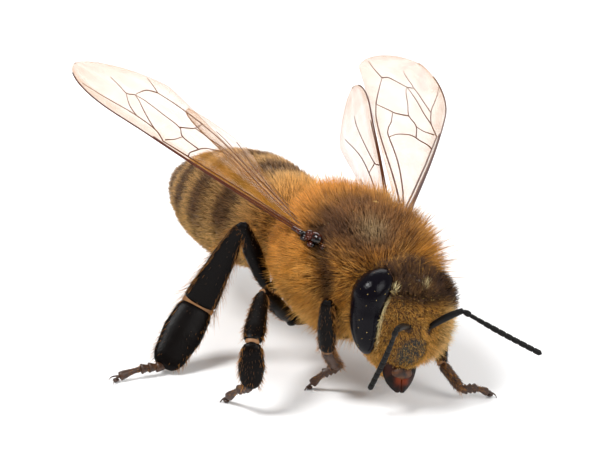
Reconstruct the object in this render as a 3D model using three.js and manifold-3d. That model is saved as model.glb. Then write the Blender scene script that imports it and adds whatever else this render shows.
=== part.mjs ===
// Worker honey bee at life size, standing with its wings half raised.
// Millimetres, +Z up. The bee faces -Y, its right side is toward -X.
import * as THREE from "three";
import { mergeVertices } from "three/addons/utils/BufferGeometryUtils.js";
import Module from "manifold-3d";

const wasm = await Module();
wasm.setup();
const { Manifold, Mesh } = wasm;

// ---------- driving sizes ----------
const thoraxCentre = [0, 0, 3.44];
const thoraxHalf = [2.4, 2.7, 2.2];
const thoraxPitch = 6;
const thoraxBelly = 0.1;

const headCentre = [-0.03, -2.7, 2.61];
const headHalfWidth = 1.8;
const headHalfHeight = 1.64;
const headFaceDepth = 0.95;
const headBackDepth = 0.8;
const headChin = { share: 0.5, power: 1.6 };
const headCrown = 0.12;
const headBrow = 0.25;
const headYaw = 3;
const headPitch = -6;
const headRoll = 14.8;

const eyeSeats = { right: [-1.33, -0.1, 0.2], left: [1.24, 0, 0.2] };
const eyeHalf = [0.55, 0.68, 1.32];
const eyeLean = -4;
const eyeBend = 0.2;

const labrumHalf = [0.46, 0.26, 0.27];
const labrumCentre = [-0.5, -1.55];
const mandible = {
  root: [0.46, -0.32, -1.36], tip: [0.22, -0.56, -2.04], face: [0, -2, -1],
  widths: [0.3, 0.3, 0.25], flat: 0.85,
};
const tongue = { root: [0, 0, -1.42], tip: [0, 0.38, -1.85], widths: [0.28, 0.27, 0.25] };

const scapeRadius = 0.25;
const flagellumRadius = 0.25;
const antennaSocket = [0.38, -0.86, -0.04];
const rightScapeRun = [-0.95, -0.67, 0.33];
const rightFlagellumRun = [-0.09, 1.01, -2.21];
const leftScapeRun = [0.6, -0.83, 0.73];
const leftFlagellumRun = [1.76, -1.58, -1.13];
const pedicelShare = 0.115;

const tegulaHalf = [0.3, 0.42, 0.32];
const tegulaCentre = [1.9, -0.62, 4.88];

const abdomenFront = [0, 1.95, 3.72];
const abdomenLength = 7.3;
const abdomenHalfWidth = 2.12;
const abdomenHalfHeight = 1.88;
const abdomenPitch = -4.6;
const abdomenYaw = -1.5;
const segmentEnds = [0, 0.17, 0.34, 0.52, 0.69, 0.84, 1];
const segmentLip = 0.965;
const tailRadius = 0.07;
const abdomenSwell = 0.85;
const abdomenBlunt = 0.62;

const forewing = { length: 9.4, width: 3.02, root: 0.42, tipDrop: 1.25, bow: 0.14 };
const hindwing = { length: 6.4, width: 1.8, root: 0.35, tipDrop: 0.7, bow: 0.1 };
const wingThickness = 0.5;
const rightWingHinge = [-1.75, -0.17, 4.7];
const leftWingHinge = [1.88, -0.34, 4.78];
const rightHindHinge = [-1.6, 0.25, 4.6];
const leftHindHinge = [1.72, 0.28, 4.43];
const rightWingRun = [-0.406, 0.841, 0.356];
const rightWingChord = [0.9, 0.438, -0.007];
const rightHindRun = [-0.086, 0.927, 0.366];
const rightHindChord = [0.827, 0.505, -0.249];
const leftWingRun = [0.682, 0.722, 0.115];
const leftWingChord = [-0.682, 0.571, 0.456];
const leftHindRun = [0.388, 0.824, 0.414];
const leftHindChord = [-0.186, 0.51, -0.84];

const toeHeight = 0.15;
// joints of each leg: inner end, hip, knee, shank end, first foot joint, toe
const legs = {
  fore_right: {
    joints: [[-0.5, -1.2, 2.3], [-0.86, -1.24, 1.8], [-2.23, -1.98, 3.36],
      [-1.94, -1.74, 1.66], [-1.26, -1.4, 0.85], [-1.74, -0.72, toeHeight]],
    kind: "fore", face: [-0.8, -0.6, 0.2],
  },
  fore_left: {
    joints: [[0.5, -1.2, 2.2], [0.61, -1.28, 1.68], [2.2, -1.75, 2.35],
      [1.46, -2.91, 1.0], [1.7, -3.65, 0.36], [2.63, -3.78, toeHeight]],
    kind: "fore", face: [0.8, -0.6, 0.2],
  },
  middle_right: {
    joints: [[-0.7, 0.4, 2.2], [-1.51, 0.63, 1.68], [-3.14, -0.02, 3.14],
      [-4.45, -1.44, 2.32], [-4.49, -1.52, 0.9], [-4.5, -0.34, toeHeight]],
    kind: "middle", face: [-0.55, -0.75, 0.36],
  },
  middle_left: {
    joints: [[0.7, 0.4, 2.2], [1.51, 0.63, 1.66], [3.0, 1.2, 3.2],
      [4.0, 2.3, 1.6], [4.5, 2.7, 0.45], [5.2, 3.4, toeHeight]],
    kind: "middle", face: [0.8, -0.4, 0.4],
  },
  hind_right: {
    joints: [[-0.9, 1.1, 2.7], [-1.67, 1.72, 2.27], [-2.73, 1.74, 4.62],
      [-3.46, 2.78, 1.82], [-4.92, 2.36, 0.25], [-6.5, 2.56, toeHeight]],
    kind: "hind", face: [-0.55, -0.75, 0.36],
  },
  hind_left: {
    joints: [[0.9, 1.1, 2.7], [1.67, 1.72, 2.27], [3.0, 2.75, 4.0],
      [3.7, 5.0, 2.0], [4.05, 6.4, 0.5], [4.35, 7.6, toeHeight]],
    kind: "hind", face: [0.9, -0.2, 0.25],
  },
};

// half width and half thickness at the start, middle and end of each leg piece
const legSizes = {
  fore: {
    coxa: [0.34, 0.36, 0.3], femur: [0.27, 0.32, 0.26], tibia: [0.25, 0.3, 0.28],
    basitarsus: [0.25, 0.28, 0.25], tarsus: [0.25, 0.25, 0.27], flat: 0.9,
  },
  middle: {
    coxa: [0.4, 0.42, 0.32], femur: [0.28, 0.34, 0.27], tibia: [0.26, 0.34, 0.36],
    basitarsus: [0.34, 0.42, 0.3], tarsus: [0.25, 0.25, 0.27], flat: 0.8,
  },
  hind: {
    coxa: [0.42, 0.45, 0.34], femur: [0.3, 0.38, 0.3], tibia: [0.27, 0.44, 0.54],
    basitarsus: [0.5, 0.6, 0.38], tarsus: [0.26, 0.26, 0.28], flat: 0.55,
  },
};
const thinnestHalf = 0.25;

const sectionSides = 8;
const wingSteps = 14;
const wingWidestAt = 0.74;
const wingTaper = { share: 1.7, power: 0.6 };
const weldGap = 1e-5;
const storedGap = 1e-3;
const finestEdges = [0.028, 0.02, 0.014, 0.008, 0.004];

// ---------- finishes ----------
const finishes = {
  head: ["#5b4326", 0.7], eye: ["#0d0b12", 0.2], mouth: ["#5a2612", 0.35],
  antenna: ["#15110f", 0.4], thorax: ["#8a5c1f", 0.9], plate: ["#1b0f09", 0.3],
  abdomen: ["#6b4a24", 0.75], leg: ["#160e0a", 0.35], foot: ["#4a2a14", 0.5],
  wing: ["#b98b4c", 0.25],
};

// ---------- helpers ----------
const vec = (p) => new THREE.Vector3(p[0], p[1], p[2]);
const turn = (yaw, pitch, roll) => {
  const radians = THREE.MathUtils.degToRad;
  const about = new THREE.Matrix4().makeRotationZ(radians(yaw));
  about.multiply(new THREE.Matrix4().makeRotationX(radians(pitch)));
  return about.multiply(new THREE.Matrix4().makeRotationY(radians(roll)));
};
const headTurn = turn(headYaw, headPitch, headRoll);
const onHead = (p) => vec(p).applyMatrix4(headTurn).add(vec(headCentre));

// triangle soup of a geometry as one solid, its shared corners merged and its faces outward
function solidOf(geometry, weld = weldGap) {
  const shape = geometry.clone();
  shape.deleteAttribute("normal");
  shape.deleteAttribute("uv");
  const merged = mergeVertices(shape, weld);
  const order = merged.index.array;
  const corners = [];
  for (let i = 0; i < order.length; i += 3) {
    const [a, b, c] = [order[i], order[i + 1], order[i + 2]];
    if (a !== b && b !== c && c !== a) corners.push(a, b, c);
  }
  const build = (list) => new Manifold(new Mesh({
    numProp: 3,
    vertProperties: merged.attributes.position.array,
    triVerts: new Uint32Array(list),
  }));
  const solid = build(corners);
  return solid.volume() < 0 ? build(corners.reverse()) : solid;
}

// the geometry of a finished solid
function geometryOf(solid) {
  const raw = solid.getMesh();
  const geometry = new THREE.BufferGeometry();
  geometry.setAttribute("position", new THREE.BufferAttribute(raw.vertProperties, 3));
  geometry.setIndex(new THREE.BufferAttribute(raw.triVerts, 1));
  return geometry;
}

// a ball whose points are moved by a shape function
function blob(rows, around, shape) {
  const geometry = new THREE.SphereGeometry(1, around, rows).rotateX(Math.PI / 2);
  const place = geometry.attributes.position;
  for (let i = 0; i < place.count; i += 1) {
    const moved = shape(place.getX(i), place.getY(i), place.getZ(i));
    place.setXYZ(i, moved.x, moved.y, moved.z);
  }
  return solidOf(geometry);
}

const ellipsoid = (rows, around, half, place) =>
  blob(rows, around, (x, y, z) => place([x * half[0], y * half[1], z * half[2]]));

// matrix that lays the X, Y and Z axes along three directions from a start point
const frameAt = (start, x, y, z) => new THREE.Matrix4().makeBasis(x, y, z).setPosition(start);

// limb piece with rounded ends, turned on a lathe and flattened toward its broad face
function limb(start, end, widths, flat, face) {
  const from = vec(start);
  const run = vec(end).sub(from);
  const length = run.length();
  const along = run.clone().normalize();
  const wide = along.clone().cross(vec(face)).normalize();
  const thin = wide.clone().cross(along);
  const cap = Math.min(0.45 * length, widths[0]);
  const stations = [0, 0.4 * cap, cap, 0.5 * length, 0.8 * length, length, length + 0.45 * cap];
  const ease = [0.6, 0.88, 1, 1, 1, 0.95, 0.6];
  const profile = stations.map((height, k) => {
    const share = 2 * Math.min(1, height / length);
    const inner = widths[0] + (widths[1] - widths[0]) * Math.min(1, share);
    const radius = inner + (widths[2] - widths[1]) * Math.max(0, share - 1);
    return new THREE.Vector2(radius * ease[k], height);
  });
  profile.unshift(new THREE.Vector2(0, -0.25 * cap));
  profile.push(new THREE.Vector2(0, length + 0.65 * cap));
  const thinness = Math.max(flat, thinnestHalf / Math.min(...widths));
  const geometry = new THREE.LatheGeometry(profile, sectionSides);
  geometry.scale(1, 1, Math.min(1, thinness));
  geometry.applyMatrix4(frameAt(from, wide, along, thin));
  return solidOf(geometry);
}

// wing blade: an outline drawn from two edge curves and given an even thickness
function wingBlade(hinge, run, chord, size) {
  const along = vec(run).normalize();
  const across = vec(chord).addScaledVector(along, -vec(chord).dot(along)).normalize();
  const up = along.clone().cross(across).normalize();
  const fall = (t) => Math.max(0, (t - wingWidestAt) / (1 - wingWidestAt));
  const lead = (t) => {
    const rounding = Math.sqrt(Math.max(0, 1 - fall(t) ** 2));
    return size.tipDrop * (1 - rounding) - size.bow * Math.sin(Math.PI * t);
  };
  const trail = (t) => {
    const opened = Math.min(1, t / wingWidestAt);
    const straight = size.root + (size.width - size.root) * opened;
    const narrowing = Math.max(0, 1 - fall(t) ** wingTaper.share) ** wingTaper.power;
    return size.tipDrop + (straight - size.tipDrop) * narrowing;
  };
  const stations = Array.from({ length: wingSteps }, (_, k) =>
    Math.sin((Math.PI / 2) * (k / wingSteps)));
  const front = stations.map((t) => new THREE.Vector2(t * size.length, lead(t)));
  const back = stations.map((t) => new THREE.Vector2(t * size.length, trail(t)));
  const tip = new THREE.Vector2(size.length, size.tipDrop);
  const outline = new THREE.Shape([...front, tip, ...back.reverse()]);
  const options = { depth: wingThickness, steps: 1, bevelEnabled: false };
  const geometry = new THREE.ExtrudeGeometry(outline, options);
  geometry.translate(0, 0, -wingThickness / 2);
  geometry.applyMatrix4(frameAt(vec(hinge), along, across, up));
  return solidOf(geometry);
}

// ---------- assembly ----------
const bee = new THREE.Group();
bee.name = "honey_bee";
const built = [];

const boxesMeet = (a, b) => [0, 1, 2].every((k) => a.min[k] < b.max[k] && b.min[k] < a.max[k]);

const largest = (solid) => solid.decompose().sort((a, b) => b.volume() - a.volume())[0];

// drops slivers, as far as the piece still closes with its corners at stored precision
function tidied(solid) {
  for (const edge of finestEdges) {
    const body = largest(solid.simplify(edge));
    try {
      const stored = solidOf(geometryOf(body), storedGap).decompose();
      if (stored.length === 1) return body;
    } catch {
      continue;
    }
  }
  throw new Error("no tidy form closes");
}

function add(name, solid, finish) {
  let body = solid;
  for (const other of built) {
    if (boxesMeet(other.body.boundingBox(), body.boundingBox())) {
      body = body.subtract(other.body);
    }
  }
  body = tidied(largest(body.trimByPlane([0, 0, 1], 0)));
  built.push({ name, body, finish });
}

add("head", blob(12, 18, (x, y, z) => {
  const low = Math.max(0, -z);
  const high = Math.max(0, z);
  const narrow = 1 - headChin.share * low ** headChin.power - headCrown * high ** 2;
  const depth = y < 0 ? headFaceDepth * (1 - headBrow * high ** 2) : headBackDepth;
  return onHead([headHalfWidth * x * narrow, depth * y, headHalfHeight * z]);
}), "head");

for (const [side, sign] of [["right", -1], ["left", 1]]) {
  const lean = turn(0, 0, -sign * eyeLean);
  const seat = (p) => {
    const bend = eyeBend * (p[2] / eyeHalf[2]) ** 2;
    const local = vec([p[0] - sign * bend, p[1], p[2]]).applyMatrix4(lean);
    return onHead(local.add(vec(eyeSeats[side])).toArray());
  };
  add(`compound_eye_${side}`, ellipsoid(9, 12, eyeHalf, seat), "eye");
}

const labrumPlace = (p) => onHead([p[0], p[1] + labrumCentre[0], p[2] + labrumCentre[1]]);
add("labrum", ellipsoid(6, 10, labrumHalf, labrumPlace), "mouth");

for (const [side, sign] of [["right", -1], ["left", 1]]) {
  const root = onHead([sign * mandible.root[0], mandible.root[1], mandible.root[2]]).toArray();
  const tip = onHead([sign * mandible.tip[0], mandible.tip[1], mandible.tip[2]]).toArray();
  const front = onHead(mandible.face).sub(onHead([0, 0, 0])).toArray();
  add(`mandible_${side}`, limb(root, tip, mandible.widths, mandible.flat, front), "mouth");
}

const tongueRoot = onHead(tongue.root).toArray();
const tongueTip = onHead(tongue.tip).toArray();
add("proboscis", limb(tongueRoot, tongueTip, tongue.widths, 1, [1, 0, 0]), "mouth");

const plus = (p, q, share = 1) => p.map((value, k) => value + share * q[k]);
for (const [side, sign] of [["right", -1], ["left", 1]]) {
  const scapeRun = sign < 0 ? rightScapeRun : leftScapeRun;
  const flagellumRun = sign < 0 ? rightFlagellumRun : leftFlagellumRun;
  const socket = onHead([sign * antennaSocket[0], antennaSocket[1], antennaSocket[2]]).toArray();
  const elbow = plus(socket, scapeRun);
  const ringEnd = plus(elbow, flagellumRun, pedicelShare);
  const tip = plus(elbow, flagellumRun);
  const even = (radius) => [radius, radius, radius];
  add(`scape_${side}`, limb(socket, elbow, even(scapeRadius), 1, [0, 0, 1]), "antenna");
  add(`flagellum_${side}`, limb(ringEnd, tip, even(flagellumRadius), 1, [0, 0, 1]), "antenna");
  add(`pedicel_${side}`, limb(elbow, ringEnd, even(scapeRadius), 1, [0, 0, 1]), "antenna");
}

const thoraxTurn = turn(0, thoraxPitch, 0);
add("thorax", blob(12, 20, (x, y, z) => {
  const belly = 1 - thoraxBelly * Math.max(0, -z) ** 2;
  const local = vec([x * thoraxHalf[0] * belly, y * thoraxHalf[1] * belly, z * thoraxHalf[2]]);
  return local.applyMatrix4(thoraxTurn).add(vec(thoraxCentre));
}), "thorax");

for (const [side, sign] of [["right", -1], ["left", 1]]) {
  const seat = (p) => vec([sign * tegulaCentre[0], tegulaCentre[1], tegulaCentre[2]]).add(vec(p));
  add(`tegula_${side}`, ellipsoid(6, 10, tegulaHalf, seat), "plate");
}

const abdomenTurn = turn(abdomenYaw, abdomenPitch, 0);
const abdomenSides = 20;
const segmentRows = 3;
const girth = (t) => Math.sin(Math.PI * Math.min(1, t) ** abdomenSwell) ** abdomenBlunt;
const abdomenAxes = ["x", "y", "z"].map((_, k) => {
  const axis = [0, 0, 0];
  axis[k] = 1;
  return vec(axis).applyMatrix4(abdomenTurn);
});
for (let k = 0; k + 1 < segmentEnds.length; k += 1) {
  const [from, to] = [segmentEnds[k], segmentEnds[k + 1]];
  const profile = [new THREE.Vector2(0, from * abdomenLength)];
  for (let row = 0; row <= segmentRows; row += 1) {
    const t = from + ((to - from) * row) / segmentRows;
    const radius = Math.max(tailRadius, girth(t)) * (row === 0 ? segmentLip : 1);
    profile.push(new THREE.Vector2(radius, t * abdomenLength));
  }
  profile.push(new THREE.Vector2(0, to * abdomenLength));
  const geometry = new THREE.LatheGeometry(profile, abdomenSides);
  geometry.scale(abdomenHalfWidth, 1, abdomenHalfHeight);
  geometry.applyMatrix4(frameAt(vec(abdomenFront), ...abdomenAxes));
  add(`abdomen_segment_${k + 1}`, solidOf(geometry), "abdomen");
}

for (const [name, leg] of Object.entries(legs)) {
  const size = legSizes[leg.kind];
  const [inner, hip, knee, shank, foot, toe] = leg.joints;
  const parts = [
    ["coxa", inner, hip, "leg"], ["femur", hip, knee, "leg"], ["tibia", knee, shank, "leg"],
    ["basitarsus", shank, foot, "leg"], ["tarsus", foot, toe, "foot"],
  ];
  for (const [piece, start, end, finish] of parts) {
    const broad = piece === "tibia" || piece === "basitarsus";
    add(`${piece}_${name}`, limb(start, end, size[piece], broad ? size.flat : 1, leg.face), finish);
  }
}

add("forewing_right", wingBlade(rightWingHinge, rightWingRun, rightWingChord, forewing), "wing");
add("forewing_left", wingBlade(leftWingHinge, leftWingRun, leftWingChord, forewing), "wing");
add("hindwing_right", wingBlade(rightHindHinge, rightHindRun, rightHindChord, hindwing), "wing");
add("hindwing_left", wingBlade(leftHindHinge, leftHindRun, leftHindChord, hindwing), "wing");

// ---------- meshes, moved so the middle of the footprint is the origin ----------
const reach = new THREE.Box3();
for (const { body } of built) {
  const box = body.boundingBox();
  reach.expandByPoint(vec(box.min));
  reach.expandByPoint(vec(box.max));
}
const middle = reach.getCenter(new THREE.Vector3());

for (const { name, body, finish } of built) {
  const geometry = geometryOf(body.translate([-middle.x, -middle.y, -reach.min.z]));
  geometry.computeVertexNormals();
  const [color, roughness] = finishes[finish];
  const material = new THREE.MeshStandardMaterial({ color, roughness, metalness: 0 });
  const mesh = new THREE.Mesh(geometry, material);
  mesh.name = name;
  bee.add(mesh);
}

export default bee;
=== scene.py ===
import bpy
import numpy as np
from mathutils import Matrix, Vector


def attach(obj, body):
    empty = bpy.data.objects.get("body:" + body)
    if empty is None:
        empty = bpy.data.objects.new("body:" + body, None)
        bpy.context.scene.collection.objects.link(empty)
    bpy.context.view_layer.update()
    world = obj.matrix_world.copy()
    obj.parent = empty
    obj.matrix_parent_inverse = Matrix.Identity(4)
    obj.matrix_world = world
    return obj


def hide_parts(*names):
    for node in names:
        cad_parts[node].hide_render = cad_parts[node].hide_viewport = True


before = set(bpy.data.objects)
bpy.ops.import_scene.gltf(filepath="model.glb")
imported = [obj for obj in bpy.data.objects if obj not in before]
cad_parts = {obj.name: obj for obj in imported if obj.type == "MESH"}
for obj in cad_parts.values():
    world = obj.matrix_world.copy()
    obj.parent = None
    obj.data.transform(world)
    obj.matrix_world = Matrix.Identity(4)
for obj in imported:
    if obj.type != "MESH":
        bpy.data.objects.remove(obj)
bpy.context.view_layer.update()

bl_info = {
    "name": "Honey Bee",
    "version": (1, 0, 0),
    "blender": (4, 5, 0),
    "location": "3D View > Sidebar > Bee",
    "description": "Builds a life-size worker honey bee on a pale floor",
    "category": "Add Mesh",
}

MM = 0.001
TAU = 2 * np.pi
SIDES = (("right", -1), ("left", 1))
STEP = 1e-3  # step along a skin for its normal
# rows and columns of a ball
LARGE_GRID, SMALL_GRID, PAD_GRID = (24, 32), (12, 16), (10, 14)
BODY_GRID, HEAD_GRID, EYE_GRID = (96, 128), (120, 160), (56, 64)
PLATE_GRID, WING_GRID = (150, 96), (70, 26)
UNWRAP_MARGIN = 0.01
TUFT_PATCH = 0.0028  # width of one hair's patch on the unwrap
PIECE_TRIANGLES = 195000  # most triangles in one piece of a coat
HAIR_CLEARANCE, LEG_CLEARANCE = 0.01, 0.02  # lowest height over the floor, millimetres


def hexrgb(code):
    """Linear colour from an sRGB hex code."""
    parts = [int(code[i : i + 2], 16) / 255 for i in (0, 2, 4)]
    return tuple(c / 12.92 if c <= 0.04045 else ((c + 0.055) / 1.055) ** 2.4 for c in parts)


def vec(*values):
    return np.array(values, float)


# the bee is laid out about its own thorax, then moved so the middle of its footprint is the origin
SHIFT = vec(-0.52503, -1.54789, 0)


# ---------- settings ----------
def colour(name, words, code):
    return bpy.props.FloatVectorProperty(
        name=name, description=words, subtype="COLOR", size=3, min=0, max=1, default=hexrgb(code)
    )


def length(name, words, mm):
    return bpy.props.FloatProperty(
        name=name, description=words, unit="LENGTH", default=mm * MM, min=0, precision=6
    )


def count(name, words, default):
    return bpy.props.IntProperty(name=name, description=words, default=default, min=0)


class BeeCoatSettings(bpy.types.PropertyGroup):
    thorax_hair: length("Thorax hair", "Length of the long hair on the flanks", 0.74)
    fringe_hair: length("Fringe hair", "Length of the hair behind the eyes and on the crown", 0.58)
    disc_hair: length("Back hair", "Length of the short hair on the middle of the back", 0.26)
    head_hair: length("Face hair", "Length of the hair on the face", 0.17)
    abdomen_hair: length("Abdomen hair", "Length of the hair on the abdomen bands", 0.3)
    leg_hair: length("Leg hair", "Length of the short hair on the legs", 0.09)
    hair_width: length("Hair width", "Width of one hair at its root", 0.023)
    thorax_count: count("Thorax hairs", "How many hairs the thorax carries", 74000)
    head_count: count("Head hairs", "How many hairs the head carries", 34000)
    fringe_count: count("Fringe hairs", "How many long hairs stand round the head", 7000)
    abdomen_count: count("Abdomen hairs", "How many hairs the abdomen carries", 36000)
    leg_count: count("Leg hairs", "How many hairs one leg carries", 2200)


class BeeColourSettings(bpy.types.PropertyGroup):
    gold: colour("Gold", "Hair of the flanks and the rim of the back", "bd7a1e")
    rim: colour("Rim", "Bright hair on the rear of the thorax", "cf8a38")
    pale: colour("Pale", "Hair low on the sides and below", "e2b062")
    disc: colour("Back brown", "Short hair on the middle of the back", "80542a")
    face: colour("Face", "Hair of the face", "e2a954")
    orbit: colour("Orbit", "Pale hair beside the eyes", "e8d6a0")
    crown: colour("Crown", "Dark hair on top of the head", "3c2412")
    band: colour("Band", "Tan hair of the abdomen bands", "dfae6e")
    dusk: colour("Dusk", "Hair of the dark abdomen bands", "86613c")
    skin: colour("Skin", "Skin under the hair", "2e1c10")
    eye: colour("Eye", "Compound eyes", "08060a")
    leg: colour("Leg", "Shell of the legs", "050303")
    foot: colour("Foot", "Small foot joints", "54321a")
    feeler: colour("Feeler", "Antennae", "070606")
    mouth: colour("Mouth", "Mandibles and lip", "2e120a")
    vein: colour("Vein", "Wing veins", "62280c")
    membrane: colour("Membrane", "Clear part of the wings", "b4701c")
    pollen: colour("Pollen", "Pollen grains", "cf9c3a")
    floor: colour("Floor", "The floor under the bee", "f6f6f6")


# second tones, which break up the colours above
# the first tone below, a darker gold, is painted shade laid in patches over the thorax coat
SHADOW_GOLD, UMBER, DUST = hexrgb("8a5618"), hexrgb("3e220e"), hexrgb("b09a72")
FACE_SKIN, RUSSET = hexrgb("5a3a1c"), hexrgb("5a3416")
CLYPEUS, CLYPEUS_PIT = hexrgb("8c7434"), hexrgb("0b0a06")
# the first tone below is a lighter purple laid over the eyes as a painted sheen
EYE_SHEEN, BEAD_TONE = hexrgb("0c0910"), hexrgb("2a1a10")
JAW_TONE, JAW_RED, LIP_TONE = hexrgb("0e0705"), hexrgb("7a3012"), hexrgb("181010")
FEELER_TONE, LEG_TONE = hexrgb("110e0d"), hexrgb("0c0705")
PLATE, PLATE_BAND, BELLY = hexrgb("5e4326"), hexrgb("a07440"), hexrgb("a8804e")
JOINT, JOINT_TONE = hexrgb("b07d4a"), hexrgb("3c2212")
FILM_TONE, VEIN_TONE, HINGE_TONE = hexrgb("c08a34"), hexrgb("260e06"), hexrgb("4a1c0c")
POLLEN_TONE, FLOOR_TONE = hexrgb("f3dc8a"), hexrgb("ededed")

# ---------- body plan, millimetres and degrees ----------
THORAX_CENTRE = vec(0, 0, 3.44)
THORAX_SKIN = vec(1.95, 2.26, 1.78)
THORAX_TURN = (0, 6, 0)
HEAD_CENTRE = vec(-0.03, -2.7, 2.61)
HEAD_HALF = (1.74, 0.9, 1.58)
HEAD_BACK = 0.74
HEAD_TURN = (3.0, -6.0, 14.8)
EYE_SEATS = {-1: vec(-1.41, -0.07, 0.2), 1: vec(1.34, 0.02, 0.2)}
EYE_HALF = vec(0.46, 0.54, 1.3)
EYE_LEAN = -4
EYE_TOP = 0.7  # how much wider an eye is at its top than at its middle
SOCKET = (0.38, -0.86, -0.04)
# small pale tufts on the dark crown, seen from the front: across and up
HEAD_TUFTS = ((0.22, 1.09), (-0.9, 0.9))
SIMPLE_EYES = ((0, 1.22), (-0.26, 1.38), (0.26, 1.38))
FEELERS = {
    "right": ((-0.95, -0.67, 0.33), (-0.09, 1.01, -2.21)),
    "left": ((0.6, -0.83, 0.73), (1.76, -1.58, -1.13)),
}
FEELER_RINGS = 10
# the groove down each side of the thorax, from the wing hinge to the foreleg; its hair is shortened
# and painted dark as shade in the groove
SHADED_GROOVE = ((0.66, -0.1, 0.72), (0.74, -0.38, 0.55), (0.78, -0.56, 0.28), (0.79, -0.63, 0.02))
# parts of the thorax, as directions from its middle
BACK = (-0.1, -0.36, 0.92)
BRIGHT_REAR = (-0.35, 0.7, 0.6)
DUSTY_SPOT = (-0.1, -0.52, 0.82)
DARK_SPOT = (-0.5, -0.26, 0.83)
COLLAR = (0.1, -0.85, 0.5)
RUFF = (0.66, -0.62, 0.42)
SHORT_FLANK = (-0.81, 0.58, -0.1)
ABDOMEN_FRONT = vec(0, 1.95, 3.72)
ABDOMEN_LENGTH = 7.3
ABDOMEN_HALF = (2.12, 1.88)
ABDOMEN_TURN = (-1.5, -4.6, 0)
ABDOMEN_INSET = 0.22  # room left for the coat
SEGMENT_ENDS = vec(0, 0.17, 0.34, 0.52, 0.69, 0.84, 1.0)
FOREWING = dict(length=9.4, width=3.02, root=0.42, tip=1.25, bow=0.14)
HINDWING = dict(length=6.4, width=1.8, root=0.35, tip=0.7, bow=0.1)
# each wing's kind, hinge, run outward and direction from front edge to rear edge
WINGS = {
    "forewing_right": (FOREWING, (-1.75, -0.17, 4.7), (-0.406, 0.841, 0.356), (0.9, 0.438, -0.007)),
    "forewing_left": (FOREWING, (1.88, -0.34, 4.78), (0.7, 0.705, 0.114), (-0.682, 0.571, 0.456)),
    "hindwing_right": (HINDWING, (-1.6, 0.25, 4.6), (-0.086, 0.927, 0.366), (0.827, 0.505, -0.249)),
    "hindwing_left": (HINDWING, (1.72, 0.28, 4.43), (0.388, 0.824, 0.414), (-0.186, 0.51, -0.84)),
}
WING_HALF = 0.012  # half the thickness of a wing
# how far the plates of each hinge are moved, and the way from the wing into the thorax
HINGE_DROP = {-1: vec(0, 0, 0), 1: vec(-0.16, 0.05, -0.4)}
HINGE_INWARD = {-1: vec(-0.1, -0.35, 0.08), 1: vec(-0.3, -0.1, -0.3)}
# the cap of each hinge and the lumps round it: grid, centre on the left side, half sizes
HINGE_PLATES = (
    (LARGE_GRID, (1.72, -0.6, 4.78), (0.17, 0.27, 0.19)),
    (SMALL_GRID, (1.82, -0.42, 4.9), (0.13, 0.13, 0.1)),
    (SMALL_GRID, (1.6, -0.82, 4.56), (0.12, 0.14, 0.13)),
    (SMALL_GRID, (2.0, -0.4, 4.78), (0.12, 0.15, 0.09)),
    (SMALL_GRID, (1.9, -0.6, 4.62), (0.1, 0.16, 0.1)),
    (SMALL_GRID, (2.04, -0.22, 4.92), (0.09, 0.16, 0.08)),
)
TOE = 0.15
# each leg's root, hip, knee, shank end, foot and toe, then the way its broad sides face
LEGS = {
    "fore_right": (
        (-0.5, -1.2, 2.3), (-0.86, -1.24, 1.8), (-2.23, -1.98, 3.36),
        (-1.94, -1.74, 1.66), (-1.26, -1.4, 0.85), (-1.74, -0.72, TOE), (-0.8, -0.6, 0.2),
    ),
    "fore_left": (
        (0.5, -1.2, 2.2), (0.61, -1.28, 1.68), (2.2, -1.75, 2.35),
        (1.46, -2.91, 1.0), (1.7, -3.65, 0.36), (2.63, -3.78, TOE), (0.8, -0.6, 0.2),
    ),
    "middle_right": (
        (-0.7, 0.4, 2.2), (-1.51, 0.63, 1.68), (-3.14, -0.02, 3.14),
        (-4.45, -1.44, 2.32), (-4.49, -1.52, 0.9), (-4.5, -0.34, TOE), (-0.55, -0.75, 0.36),
    ),
    "middle_left": (
        (0.7, 0.4, 2.2), (1.51, 0.63, 1.66), (3.0, 1.2, 3.2),
        (4.0, 2.3, 1.6), (4.5, 2.7, 0.45), (5.2, 3.4, TOE), (0.8, -0.4, 0.4),
    ),
    "hind_right": (
        (-0.9, 1.1, 2.7), (-1.67, 1.72, 2.27), (-2.73, 1.74, 4.62),
        (-3.46, 2.78, 1.82), (-4.92, 2.36, 0.25), (-6.5, 2.56, TOE), (-0.55, -0.75, 0.36),
    ),
    "hind_left": (
        (0.9, 1.1, 2.7), (1.67, 1.72, 2.27), (3.0, 2.75, 4.0),
        (3.7, 5.0, 2.0), (4.05, 6.4, 0.5), (4.35, 7.6, TOE), (0.9, -0.2, 0.25),
    ),
}
# half width along each leg part as (share of its length, width), then its flatness
LEG_FORMS = {
    "fore": {
        "femur": (((0, 0.12), (0.2, 0.2), (0.6, 0.22), (1, 0.15)), 0.85),
        "tibia": (((0, 0.15), (0.15, 0.22), (0.6, 0.29), (1, 0.23)), 0.75),
        "basitarsus": (((0, 0.16), (0.15, 0.2), (0.8, 0.19), (1, 0.12)), 0.8),
    },
    "middle": {
        "femur": (((0, 0.13), (0.2, 0.22), (0.6, 0.25), (1, 0.16)), 0.8),
        "tibia": (((0, 0.14), (0.15, 0.22), (0.75, 0.33), (1, 0.27)), 0.6),
        "basitarsus": (((0, 0.2), (0.15, 0.32), (0.55, 0.4), (0.85, 0.32), (1, 0.2)), 0.5),
    },
    "hind": {
        "femur": (((0, 0.13), (0.2, 0.24), (0.6, 0.28), (1, 0.17)), 0.75),
        "tibia": (
            ((0, 0.15), (0.12, 0.25), (0.35, 0.35), (0.6, 0.42), (0.9, 0.52), (1, 0.52)), 0.34,
        ),
        "basitarsus": (((0, 0.46), (0.12, 0.56), (0.45, 0.62), (0.85, 0.5), (1, 0.34)), 0.34),
    },
}
COXA_FORM = (((0, 0.26), (0.4, 0.36), (0.8, 0.28), (1, 0.16)), 0.9)
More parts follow.
